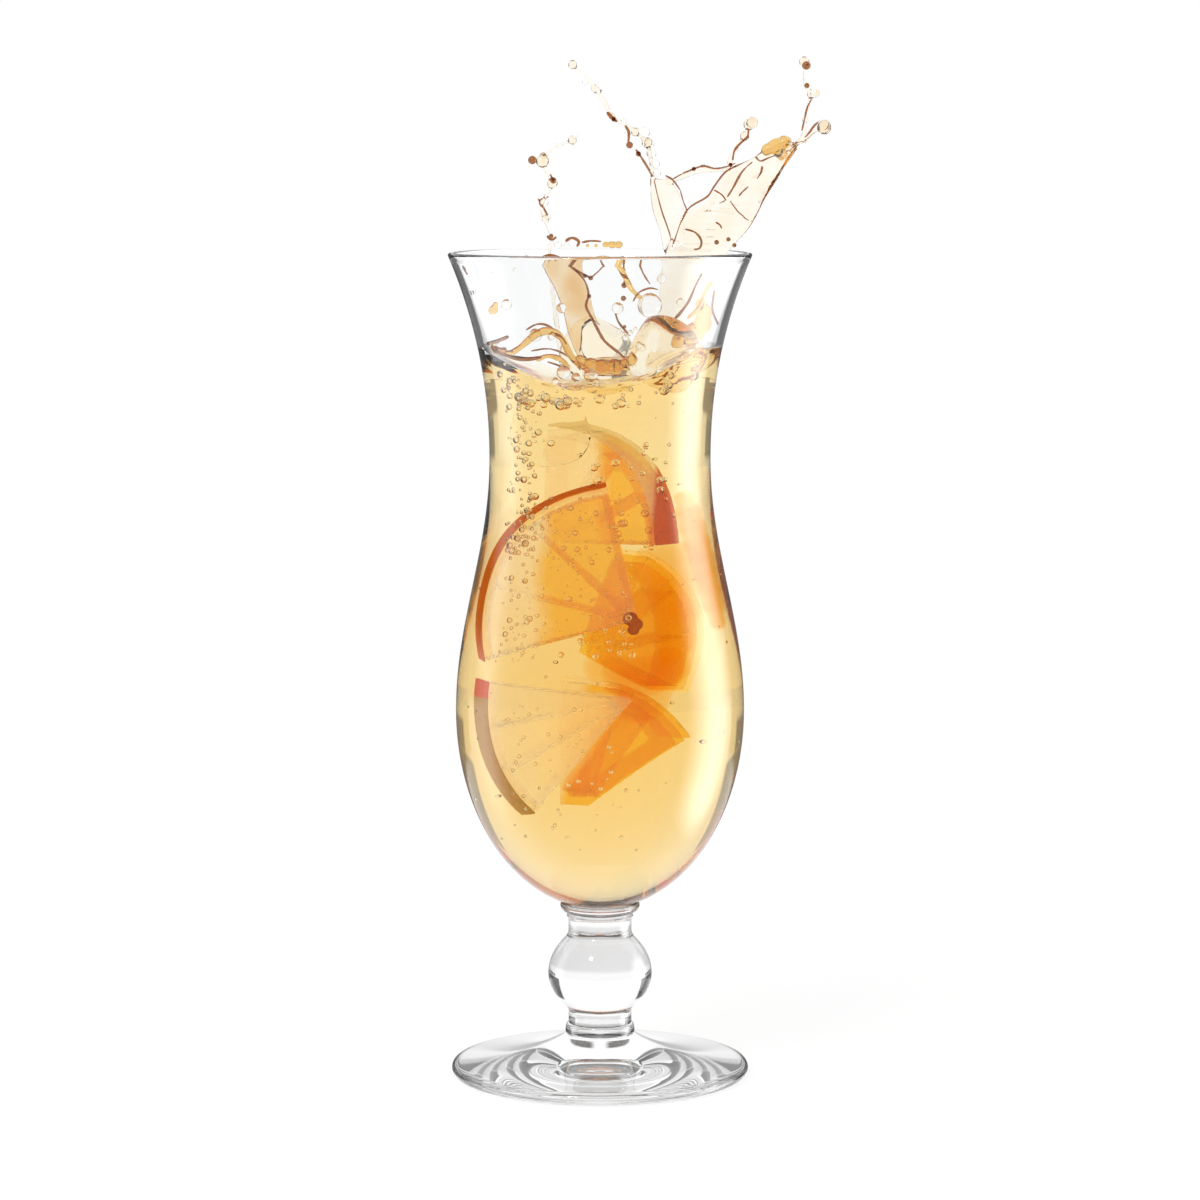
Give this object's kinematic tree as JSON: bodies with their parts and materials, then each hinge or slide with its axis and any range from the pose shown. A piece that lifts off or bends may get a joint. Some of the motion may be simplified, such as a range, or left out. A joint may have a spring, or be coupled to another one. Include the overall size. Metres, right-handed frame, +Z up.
{
  "type": "hurricane glass",
  "caption": "Waisted cocktail glass on a ball knop and a round foot, filled with an amber drink, ice and orange wedges, with a splash at its mouth.",
  "frame": {"origin": "centre of the foot's flat underside, on the axis of the glass", "axes": "+Z up along the glass's axis; -Y faces the viewer of the picture; the splash leans to +X"},
  "size_m": [0.094, 0.075, 0.254],
  "materials": {
    "clear_glass": "clear, colourless, fire-polished soda-lime glass",
    "amber_drink": "clear pale amber drink with bubbles",
    "thin_drink": "thin clear sheets and strands of the same drink",
    "wet_ice": "clear wet ice with a few cracks",
    "orange_peel": "waxy dimpled orange peel",
    "orange_pith": "soft pale pith and segment skins",
    "orange_pulp": "wet, see-through orange pulp"
  },
  "bodies": {
    "root": {"bowl": "clear_glass", "collar": "clear_glass", "knop": "clear_glass", "base_ring": "clear_glass", "foot": "clear_glass", "drink": "amber_drink", "wedge_top_peel": "orange_peel", "wedge_top_pith": "orange_pith", "wedge_top_pulp": "orange_pulp", "wedge_front_peel": "orange_peel", "wedge_front_pith": "orange_pith", "wedge_front_pulp": "orange_pulp", "wedge_low_peel": "orange_peel", "wedge_low_pith": "orange_pith", "wedge_low_pulp": "orange_pulp", "wedge_back_peel": "orange_peel", "wedge_back_pith": "orange_pith", "wedge_back_pulp": "orange_pulp", "wedge_side_peel": "orange_peel", "wedge_side_pith": "orange_pith", "wedge_side_pulp": "orange_pulp", "ice_left": "wet_ice", "ice_right": "wet_ice", "ice_low": "wet_ice", "splash_crown": "thin_drink", "splash_tongue": "thin_drink", "splash_strand": "thin_drink"}
  },
  "joints": []
}
